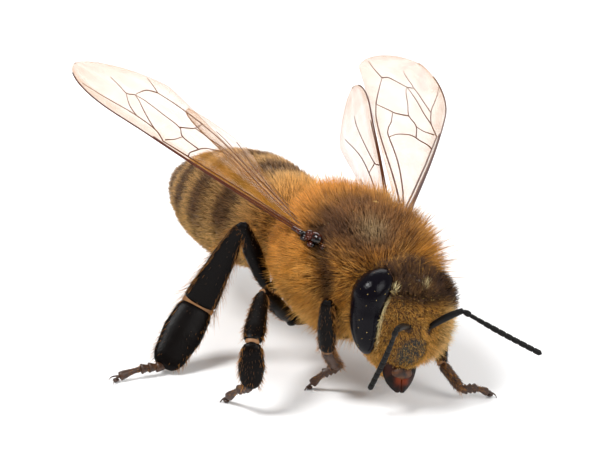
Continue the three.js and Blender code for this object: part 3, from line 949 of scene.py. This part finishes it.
class BEE_OT_feelers(Builder):
    """Both antennae with their ringed ends"""

    bl_idname = "bee.feelers"
    bl_label = "Antennae"

    def build(self, sizes, tints):
        shell = two_tone(
            "feeler_shell", 6, tints.feeler, FEELER_TONE, 30, 0.006,
            Roughness=0.34, Specular_IOR_Level=0.16,
        )
        up = vec(0, 0, 1)
        for side, sign in SIDES:
            scape_run, run = (np.array(v) for v in FEELERS[side])
            socket = on_head((sign * SOCKET[0], *SOCKET[1:]))
            elbow = socket + scape_run
            t = np.linspace(0, 1, 18)
            sag = 0.05 * np.sin(np.pi * t)[:, None] * up
            radius = 0.072 + 0.03 * np.sin(np.pi * t) + 0.015 * t - 0.025 * smooth(0.12, 0, t)
            scape = sweep(socket + scape_run * t[:, None] + sag, radius, radius, up + unit(run), 18)
            t = np.linspace(0, 1, 8)
            bulge = 0.058 + 0.036 * np.sin(np.pi * t * 0.8)
            pedicel = sweep(elbow + run * (0.01 + 0.085 * t[:, None]), bulge, bulge, up)
            bow = unit(np.cross(run, up))
            rings = []
            first, rest = 0.1, 0.9 / FEELER_RINGS
            s = np.linspace(0, 1, 9)
            for k in range(FEELER_RINGS):
                a = first + k * rest
                size = (0.064 + 0.022 * smooth(0, 3, k)) * (1 - 0.2 * np.abs(2 * s - 1) ** 6)
                bowed = 0.06 * np.sin(np.pi * (a + rest * s))[:, None] * bow
                path = elbow + run * (a + rest * 0.99 * s)[:, None] + bowed
                cap = 0.9 if k == FEELER_RINGS - 1 else 0.3
                rings.append(sweep(path, size, size, up, 16, cap))
            for part, body in (
                ("scape", joined([scape, blob(SMALL_GRID, 0.085, socket)])),
                ("pedicel", pedicel),
                ("flagellum", joined(rings)),
            ):
                piece(f"{part}_{side}", body, shell, "antenna")


class BEE_OT_abdomen(Builder):
    """Plates and banded coat of the abdomen"""

    bl_idname = "bee.abdomen"
    bl_label = "Abdomen"

    def build(self, sizes, tints):
        kit = Finish("abdomen_plates")
        kit.bump(kit.noise(16), 0.012)
        tone = kit.layers(
            PLATE,
            (kit.mark("band"), PLATE_BAND),
            (kit.mark("under") * 0.8, BELLY),
            (kit.noise(3) * 0.35, tints.skin),
        )
        shell = kit.set(tone, Roughness=0.45, Specular_IOR_Level=0.3)
        nodes = [f"abdomen_segment_{k}" for k in range(1, len(SEGMENT_ENDS))]
        rows, around = PLATE_GRID
        turns = TAU * np.arange(around) / around
        t, angle = np.meshgrid(np.linspace(0.015, 0.995, rows), turns, indexing="ij")
        t, angle = t.ravel(), angle.ravel()
        points = np.vstack([abdomen_axis(0), abdomen_point(t, angle), abdomen_axis(1)])
        faces = [face[::-1] for face in tube_faces(rows, around)]
        marks = {k: np.pad(v, 1, "edge") for k, v in abdomen_marks(t, angle).items()}
        piece("abdomen_plates", (points, faces), shell, "coat_abdomen", nodes, **marks)

        kit = Finish("abdomen_hair")
        tan = kit.layers(tints.band, (kit.noise(1.3) * 0.6, tints.pale))
        tone = kit.layers(
            tints.dusk,
            (kit.mark("band"), tan),
            (kit.mark("fore") * 0.8, tints.gold),
            (kit.mark("under") * 0.7, tints.pale),
        )
        rng = np.random.default_rng(31)
        n = int(sizes.abdomen_count * 1.9)
        t = rng.uniform(0.01, 0.985, n)
        angle = rng.uniform(0, TAU, n)
        marks = abdomen_marks(t, angle)
        first = 1 - smooth(0.1, 0.24, t)
        marks["band"] = np.maximum(marks["band"], first)
        keep = rng.uniform(size=n) < girth(t)
        keep &= rng.uniform(size=n) < 0.45 + 0.55 * marks["band"]
        p = abdomen_point(t, angle)
        round_it, along_it = abdomen_point(t, angle + STEP), abdomen_point(t + STEP * 0.1, angle)
        normal = unit(np.cross(round_it - p, along_it - p))
        normal *= np.sign((normal * unit(p - abdomen_axis(0.5))).sum(1, keepdims=True))
        lie = combed(ABDOMEN_AXES @ vec(0, 1, 0), normal)
        size = sizes.abdomen_hair / MM * (1 + 1.2 * first)
        coat(
            "abdomen_coat", (p, normal, lie, size, on_unwrap(angle / TAU, t)), marks,
            kit.hair(tone), "coat_abdomen", nodes, lift=0.25 + 0.45 * first[keep], stray=0.15,
            clump=0.12, curl=0.5, width=sizes.hair_width / MM, joints=1, seed=6, keep=keep,
        )


class BEE_OT_legs(Builder):
    """Six legs with foot joints, claws and fringes"""

    bl_idname = "bee.legs"
    bl_label = "Legs"

    def build(self, sizes, tints):
        glossy = dict(Roughness=0.25, Specular_IOR_Level=0.09)
        shell = two_tone("leg_shell", 4, tints.leg, LEG_TONE, 22, 0.012, **glossy)
        soft = two_tone("joint_skin", 4, JOINT, JOINT_TONE, Roughness=0.5)
        foot_shell = two_tone("foot_shell", 5, tints.foot, tints.leg, 22, 0.01, Roughness=0.42)
        kit = Finish("leg_hair")
        hair = kit.hair(kit.layers(tints.crown, (kit.mark("fringe"), tints.rim)))
        for name, plan in LEGS.items():
            plan = np.array(plan)
            spans = self.leg(name, plan, shell, foot_shell, soft)
            self.foot(name, plan, foot_shell)
            self.hair(name, plan, spans, sizes, hair)

    def leg(self, name, plan, shell, foot_shell, soft):
        """The long parts of one leg; gives back where each starts and ends."""
        inner, hip, knee, shank, foot, _, face = plan
        kind = name.split("_")[0]
        forms = LEG_FORMS[kind]
        thigh = unit(knee - hip)
        coxa = leg_piece(inner, hip, COXA_FORM, face)
        ring = leg_piece(hip - thigh * 0.12, hip + thigh * 0.22, HIP_FORM, face, 12)
        piece(f"coxa_{name}", joined([coxa, ring]), shell, "dark_plate")
        spans = {
            "femur": (hip + thigh * 0.16, knee),
            "tibia": (knee + unit(shank - knee) * 0.03, shank),
            "basitarsus": (shank + unit(foot - shank) * 0.02, foot),
        }
        for part, (a, b) in spans.items():
            body = leg_piece(a, b, forms[part], face)
            body[0][:, 2] = np.maximum(body[0][:, 2], LEG_CLEARANCE)
            if part != "femur" and (kind, part) != ("hind", "basitarsus"):
                body = joined([body, blob(SMALL_GRID, 0.64 * forms[part][0][0][1], a)])
            tone = foot_shell if (kind, part) == ("fore", "basitarsus") else shell
            piece(f"{part}_{name}", body, tone, "dark_plate")
        stops, flat = forms["tibia"]
        share, reach = (0.98, 0.1) if kind == "hind" else (0.8, 0.03)
        width = share * stops[-1][1]
        path = shank + np.linspace(-0.06, reach, 6)[:, None] * unit(foot - knee)
        cuffs = [sweep(path, width, max(width * flat, 0.1), face, 20, 0.3)]
        if kind == "middle":
            path = knee + np.linspace(-0.05, 0.05, 6)[:, None] * unit(shank - hip)
            cuffs.append(sweep(path, 0.1, 0.1, face))
        piece(f"cuffs_{name}", joined(cuffs), soft, "foot", [f"tibia_{name}"])
        return spans

    def foot(self, name, plan, foot_shell):
        """The small foot joints of one leg, with its claws and pad."""
        *_, foot, toe, face = plan
        joints = []
        s = np.linspace(0, 1, 10)
        for a, b in zip(FOOT_CUTS, FOOT_CUTS[1:]):
            wide = 0.1 + 0.075 * s**1.3 * smooth(1.02, 0.85, s)
            if b == FOOT_CUTS[-1]:
                wide = 0.085 + 0.05 * smooth(0.3, 0.9, s)
            path = toe_path(foot, toe, a + (b - a) * s * 0.98)
            joints.append(sweep(path, wide, wide * 0.75, face, 14))
        heading, up = unit(toe - foot), vec(0, 0, 1)
        side = unit(np.cross(heading, up))
        tip = toe_path(foot, toe, vec(0.93))[0]
        ahead, out = 0.26 * np.sin(1.5 * s)[:, None], (0.03 + 0.14 * s)[:, None]
        for _, sign in SIDES:
            claw = tip + heading * ahead + side * sign * out
            claw[:, 2] += 0.03 * np.sin(np.pi * s) - (tip[2] - 0.03) * s**2
            thick = 0.035 * (1 - 0.75 * s)
            joints.append(sweep(claw, thick, thick, up, 8))
        x, y, _ = tip + heading * 0.1
        joints.append(blob(PAD_GRID, (0.1, 0.1, 0.055), (x, y, 0.07)))
        piece(f"tarsus_{name}", joined(joints), foot_shell, "foot")

    def hair(self, name, plan, spans, sizes, hair):
        *_, foot, toe, face = plan
        kind = name.split("_")[0]
        rng = np.random.default_rng(sum(map(ord, name)))
        kept = []
        for row, (part, portion) in enumerate(LEG_SHARES.items()):
            n = int(sizes.leg_count * portion)
            t = rng.uniform(0.04, 0.99, n)
            angle = rng.uniform(0, TAU, n)
            last = part == "tarsus"
            if last:
                a, b = foot, toe
                wide, thin = (np.full(n, half) for half in FOOT_HALF)
                path = toe_path(foot, toe, t * 0.9)
            else:
                a, b = spans[part]
                stops, flat = LEG_FORMS[kind][part]
                wide = ramp(t, stops)
                thin = np.maximum(wide * flat, LEG_THIN)
                path = a + (b - a) * t[:, None]
            along = unit(b - a)
            across = unit(np.cross(along, face))
            through = np.cross(across, along)
            cos, sin = np.cos(angle), np.sin(angle)
            edge = np.abs(cos) ** 3
            sparse = rng.uniform(size=n) < (0.1 if kind == "hind" else 0.3)
            keep = (edge >= 0.45) | last | sparse
            rim = across * (wide * cos)[:, None] - through * (thin * sin)[:, None]
            normal = unit(across * (cos / wide)[:, None] - through * (sin / thin)[:, None])
            size = sizes.leg_hair / MM * (1 + 1.2 * edge * (not last))
            if (kind, part) == ("hind", "tibia"):
                size = size * (1 + 1.6 * edge)
            tip = smooth(0.8, 1.0, t) if part in ("tibia", "basitarsus") else 0 * t
            size = size * (1 + 0.5 * tip)
            lie = np.broadcast_to(along, (n, 3))
            unwrap = on_unwrap(angle / TAU, (row + t) / len(LEG_SHARES))
            fringe = np.clip(0.75 * edge + 0.8 * tip + 0.15 + last * 0.5, 0, 1)
            kept.append([a[keep] for a in (path + rim, normal, lie, size, unwrap, fringe)])
        *stand, fringe = (np.concatenate(column) for column in zip(*kept))
        nodes = [f"{part}_{name}" for part in LEG_SHARES]
        coat(
            f"coat_{name}", stand, {"fringe": fringe}, hair, "dark_plate", nodes, lift=0.42,
            stray=0.1, clump=0.08, curl=0.5, width=LEG_HAIR_WIDTH, joints=1, seed=9,
        )


# each vein's radius, then its points as (share of the wing's length, share of its local width)
FORE_VEINS = (
    (0.062, ((0, 0.2), (0.1, 0.08), (0.3, 0.03), (0.5, 0.01), (0.6, 0.015))),
    (0.045, ((0, 0.36), (0.12, 0.19), (0.3, 0.1), (0.45, 0.065), (0.57, 0.04))),
    (0.026, ((0.57, 0.05), (0.62, 0.14), (0.7, 0.165), (0.8, 0.14), (0.87, 0.1), (0.915, 0.05))),
    (0.026, ((0.62, 0.14), (0.66, 0.23), (0.72, 0.35), (0.7735, 0.47))),
    (0.024, ((0.7, 0.165), (0.74, 0.24), (0.77, 0.32), (0.796, 0.41))),
    (0.026, (
        (0.47, 0.33), (0.541, 0.34), (0.577, 0.45), (0.65, 0.46), (0.72, 0.47), (0.7735, 0.47),
    )),
    (0.022, ((0.7735, 0.47), (0.796, 0.41), (0.84, 0.5), (0.885, 0.6))),
    (0.026, ((0.565, 0.08), (0.552, 0.2), (0.541, 0.34))),
    (0.03, ((0.47, 0.06), (0.478, 0.2), (0.46, 0.42), (0.433, 0.6), (0.3825, 0.8))),
    (0.034, (
        (0, 0.5), (0.1, 0.56), (0.25, 0.68), (0.3825, 0.8), (0.43, 0.79), (0.483, 0.72),
        (0.547, 0.68),
    )),
    (0.03, ((0.577, 0.45), (0.562, 0.56), (0.547, 0.68), (0.551, 0.9))),
    (0.028, ((0.551, 0.9), (0.62, 0.84), (0.68, 0.79), (0.739, 0.74))),
    (0.026, ((0.739, 0.74), (0.768, 0.68), (0.775, 0.57), (0.7735, 0.47))),
    (0.022, ((0.739, 0.74), (0.78, 0.86), (0.815, 0.96))),
    (0.04, ((0, 0.7), (0.12, 0.82), (0.3, 0.93), (0.45, 0.95), (0.551, 0.9))),
)
HIND_VEINS = (
    (0.045, ((0, 0.2), (0.2, 0.06), (0.4, 0.03), (0.66, 0.03))),
    (0.032, ((0, 0.45), (0.2, 0.42), (0.34, 0.42), (0.5, 0.52), (0.74, 0.78))),
    (0.028, ((0.36, 0.06), (0.4, 0.2), (0.52, 0.3), (0.8, 0.42))),
    (0.026, ((0.4, 0.2), (0.36, 0.42))),
    (0.028, ((0.02, 0.7), (0.2, 0.75), (0.42, 0.9))),
)
EDGE_VEIN = 0.024
WING_BREAK = 0.74  # share of the length at which the rounded tip starts


class WingPlan:
    """Outline and camber of one wing, from shares of its length and width to space."""

    def __init__(self, size, hinge, run, chord):
        self.size = size
        self.hinge = np.array(hinge)
        self.along = unit(run)
        self.across = unit(chord - self.along * (chord @ self.along))
        up = unit(np.cross(self.along, self.across))
        self.up = up if up[2] > 0 else -up

    def edges(self, t):
        root, width, tip = (self.size[key] for key in ("root", "width", "tip"))
        fall = np.clip((t - WING_BREAK) / (1 - WING_BREAK), 0, 1)
        rounding = np.sqrt(np.maximum(0, 1 - fall * fall))
        lead = tip * (1 - rounding) - self.size["bow"] * np.sin(np.pi * t)
        straight = root + (width - root) * np.minimum(1, t / WING_BREAK)
        return lead, tip + (straight - tip) * np.maximum(0, 1 - fall**1.7) ** 0.6

    def point(self, t, share, lift=0.0):
        lead, trail = self.edges(t)
        offset = lead + (trail - lead) * share
        across, out = np.clip(share, 0, 1), np.clip(t, 0, 1)
        camber = 0.14 * np.sin(np.pi * across) * np.sin(np.pi * out**0.7)
        pleat = 0.03 * np.sin(share * 19) * (1 - share) * smooth(0.0, 0.2, t)
        rise = camber + pleat - 0.12 * smooth(0.6, 1, t) + lift
        spread = t[..., None] * self.size["length"] * self.along + offset[..., None] * self.across
        return self.hinge + spread + rise[..., None] * self.up


def spline(stops, s):
    """A smooth curve through the stops at the fractional indices s."""
    padded = np.vstack([2 * stops[0] - stops[1], stops, 2 * stops[-1] - stops[-2]])
    k = np.minimum(s.astype(int), len(stops) - 2)
    t = (s - k)[:, None]
    a, b, c, d = (padded[k + i] for i in range(4))
    bend, twist = 2 * a - 5 * b + 4 * c - d, 3 * b - a - 3 * c + d
    return (0.5 * (2 * b + (c - a) * t + bend * t**2 + twist * t**3)).T


class BEE_OT_wings(Builder):
    """Four clear wings with their veins, and the hinge plates"""

    bl_idname = "bee.wings"
    bl_label = "Wings"

    def build(self, sizes, tints):
        kit = Finish("wing_membrane")
        kit.bump(kit.noise(9) + kit.cells(7) * 0.4, 0.02, 0.6)
        film = kit.set(
            kit.layers(tints.membrane, (kit.noise(1.2), FILM_TONE)),
            Alpha=kit.mark("haze") * (kit.noise(2) * 0.6 + 0.7),
            Roughness=0.14, Specular_IOR_Level=0.15,
        )
        vein = two_tone(
            "wing_vein", 5, tints.vein, VEIN_TONE, 30, 0.006,
            Roughness=0.3, Specular_IOR_Level=0.25,
        )
        kit = Finish("hinge_shell")
        tone = kit.layers(tints.leg, (kit.noise(4).between(0.4, 0.65), HINGE_TONE))
        shell = kit.set(tone, Roughness=0.16, Specular_IOR_Level=0.4)
        for name, wing in WINGS.items():
            plan = WingPlan(*wing)
            self.membrane(name, plan, film)
            self.veins(name, plan, vein)
        for side, sign in SIDES:
            self.hinge(side, sign, shell)

    def membrane(self, name, plan, film):
        rows, cols = WING_GRID
        t, share = np.meshgrid(
            np.sin(np.linspace(0, np.pi / 2, rows)), np.linspace(0, 1, cols), indexing="ij"
        )
        layers = [plan.point(t, share, lift) for lift in (WING_HALF, -WING_HALF)]
        points = np.stack(layers).reshape(-1, 3)
        n = rows * cols
        index = np.arange(n).reshape(rows, cols)
        quads = np.stack([index[:-1, :-1], index[1:, :-1], index[1:, 1:], index[:-1, 1:]], -1)
        quads = quads.reshape(-1, 4)
        rim = np.concatenate([index[:, 0], index[-1, 1:], index[-2::-1, -1], index[0, -2:0:-1]])
        edge = [(b, a, n + a, n + b) for a, b in zip(rim, np.roll(rim, -1))]
        faces = [*map(tuple, quads), *map(tuple, n + quads[:, ::-1]), *edge]
        haze = 0.22 + 0.1 * bell((share - 0.05) / 0.1)
        haze = haze + 0.08 * smooth(0.7, 1, t) + 0.08 * smooth(0.75, 1, share)
        haze = np.tile(haze.ravel(), 2)
        piece(f"{name}_membrane", (points, faces), film, "wing", [name], haze=haze)

    def veins(self, name, plan, vein):
        tubes = []
        for radius, stops in FORE_VEINS if name.startswith("fore") else HIND_VEINS:
            s = np.linspace(0, len(stops) - 1, 6 * len(stops))
            taper = 0.75 * radius * (1 - 0.45 * s / s[-1])
            tubes.append(sweep(plan.point(*spline(np.array(stops), s)), taper, taper, plan.up, 8))
        lead = np.linspace(0.03, 0.97, 60)
        tubes.append(sweep(plan.point(lead, 0 * lead), EDGE_VEIN, EDGE_VEIN, plan.up, 8))
        piece(f"{name}_veins", joined(tubes), vein, "wing", [name])

    def hinge(self, side, sign, shell):
        aside = vec(sign, 1, 1)
        plates = [
            blob(grid, half, vec(*centre) * aside + HINGE_DROP[sign])
            for grid, centre, half in HINGE_PLATES
        ]
        _, hinge, run, _ = WINGS[f"forewing_{side}"]
        t = np.linspace(0, 1, 12)
        rod = hinge + HINGE_INWARD[sign] * (1 - t[:, None]) + unit(run) * 0.5 * t[:, None]
        root = sweep(rod, 0.12 - 0.05 * t, 0.1 - 0.04 * t, vec(0, 0, 1), 12)
        body = joined([plates[0], root, *plates[1:]])
        piece(f"tegula_{side}", body, shell, "dark_plate")


class BEE_OT_pollen(Builder):
    """Loose pollen grains caught on the face, eyes and back"""

    bl_idname = "bee.pollen"
    bl_label = "Pollen"

    def build(self, sizes, tints):
        grain = two_tone("pollen_grain", 3, tints.pollen, POLLEN_TONE, Roughness=0.6)
        rng = np.random.default_rng(77)
        _, p, normal, _ = skin_points(lambda d: head_shape(d, grow=0.05), 1500, seed=41)
        h = in_head(p)
        keep = (h[:, 1] < -0.1) & (off_eyes(h) > 1)
        spots = list(p[keep] + normal[keep] * rng.uniform(0.02, 0.12, keep.sum())[:, None])
        for sign in (-1, 1):
            d = unit(rng.normal(size=(160, 3)))
            e = eye_point(sign, d * EYE_HALF * 1.01)
            x, y, _ = in_head(e).T
            spots += list(e[(sign * (x - sign * 1.3) > -0.2) & (y < 0.2)][:26])
        _, p, normal, _ = skin_points(thorax_shape, 900, seed=43)
        spots += list((p + normal * rng.uniform(0.15, 0.5, 900)[:, None])[:260])
        size = list(rng.uniform(0.006, 0.014, len(spots)))
        # one cluster stands out on the back
        for dx, dz, radius in ((0, 0, 0.05), (0.07, -0.03, 0.045), (-0.06, 0.03, 0.03)):
            spots.append(vec(0.62, -0.35, 5.42) + (dx, 0, dz))
            size.append(radius)
        corners = np.repeat(np.eye(3), 2, 0) * np.tile([[1], [-1]], (3, 1))
        sides = [
            face
            for a, b in ((0, 2), (2, 1), (1, 3), (3, 0))
            for face in ((a, b, 4), (b, a, 5))
        ]
        grains = [(corners * s + c, sides) for s, c in zip(size, spots)]
        piece("pollen_grains", joined(grains), grain, "coat_head", ["head"])


def camera_axes():
    a, e, r = (np.radians(VIEW[k]) for k in ("azimuth", "elevation", "roll"))
    back = vec(np.sin(a) * np.cos(e), -np.cos(a) * np.cos(e), np.sin(e))
    level = vec(np.cos(a), np.sin(a), 0)
    right = np.cos(r) * level + np.sin(r) * np.cross(back, level)
    return right, np.cross(back, right), back


class BEE_OT_stage(Builder):
    """Floor, soft lights, pale surroundings and the camera"""

    bl_idname = "bee.stage"
    bl_label = "Stage"

    def build(self, sizes, tints):
        scene = bpy.context.scene
        kit = Finish("floor")
        tone = kit.layers(tints.floor, (kit.noise(0.02) * 0.1, FLOOR_TONE))
        mesh = bpy.data.meshes.new("floor")
        corners = vec((-1, -1, 0), (1, -1, 0), (1, 1, 0), (-1, 1, 0)) * FLOOR_HALF
        mesh.from_pydata(corners.tolist(), [], [(0, 1, 2, 3)])
        mesh.materials.append(kit.set(tone, Roughness=0.7))
        floor = bpy.data.objects.new("floor", mesh)
        scene.collection.objects.link(floor)
        scene.view_settings.view_transform = "Standard"
        scene.world = bpy.data.worlds.new("pale_room")
        scene.world.use_nodes = True
        sky = scene.world.node_tree.nodes["Background"].inputs
        sky["Color"].default_value = (1, 1, 1, 1)
        sky["Strength"].default_value = SKY_STRENGTH
        axes = np.stack(camera_axes())
        centre = Vector(((THORAX_CENTRE + SHIFT) * MM).tolist())
        for name, (way, size, power) in LAMPS.items():
            data = bpy.data.lights.new(name, "AREA")
            data.shape, data.size, data.energy = "SQUARE", size, power
            lamp = bpy.data.objects.new(name, data)
            aim = Vector(unit(way @ axes).tolist())
            lamp.location = centre + aim * LAMP_DISTANCE
            lamp.rotation_mode = "QUATERNION"
            lamp.rotation_quaternion = aim.to_track_quat("Z", "Y")
            scene.collection.objects.link(lamp)
        data = bpy.data.cameras.new("camera")
        data.lens = VIEW["scale"] * VIEW["distance"] * SENSOR / PICTURE[0]
        data.clip_start, data.clip_end = 0.01, 10
        scene.camera = bpy.data.objects.new("camera", data)
        right = (PICTURE[0] / 2 - VIEW["x"]) / VIEW["scale"]
        up = (VIEW["y"] - PICTURE[1] / 2) / VIEW["scale"]
        spot = (0, 0, AIM_HEIGHT) + SHIFT + (right, up, VIEW["distance"]) @ axes
        turned = Matrix(axes.T.tolist()).to_4x4()
        turned.translation = Vector((spot * MM).tolist())
        scene.camera.matrix_world = turned
        scene.collection.objects.link(scene.camera)


OPERATORS = (
    BEE_OT_thorax, BEE_OT_head, BEE_OT_mouth, BEE_OT_feelers, BEE_OT_abdomen,
    BEE_OT_legs, BEE_OT_wings, BEE_OT_pollen, BEE_OT_stage,
)


class BEE_PT_panel(bpy.types.Panel):
    bl_label = "Honey Bee"
    bl_idname = "BEE_PT_panel"
    bl_space_type = "VIEW_3D"
    bl_region_type = "UI"
    bl_category = "Bee"

    def draw(self, context):
        for operator in OPERATORS:
            self.layout.operator(operator.bl_idname)
        for group in (context.scene.bee_coat, context.scene.bee_colours):
            box = self.layout.box()
            for key in group.__annotations__:
                box.prop(group, key)


CLASSES = (BeeCoatSettings, BeeColourSettings, *OPERATORS, BEE_PT_panel)


def register():
    for cls in CLASSES:
        bpy.utils.register_class(cls)
    bpy.types.Scene.bee_coat = bpy.props.PointerProperty(type=BeeCoatSettings)
    bpy.types.Scene.bee_colours = bpy.props.PointerProperty(type=BeeColourSettings)


def unregister():
    del bpy.types.Scene.bee_colours
    del bpy.types.Scene.bee_coat
    for cls in reversed(CLASSES):
        bpy.utils.unregister_class(cls)


def main():
    register()
    for operator in OPERATORS:
        group, name = operator.bl_idname.split(".")
        getattr(getattr(bpy.ops, group), name)()


if __name__ == "__main__":
    main()
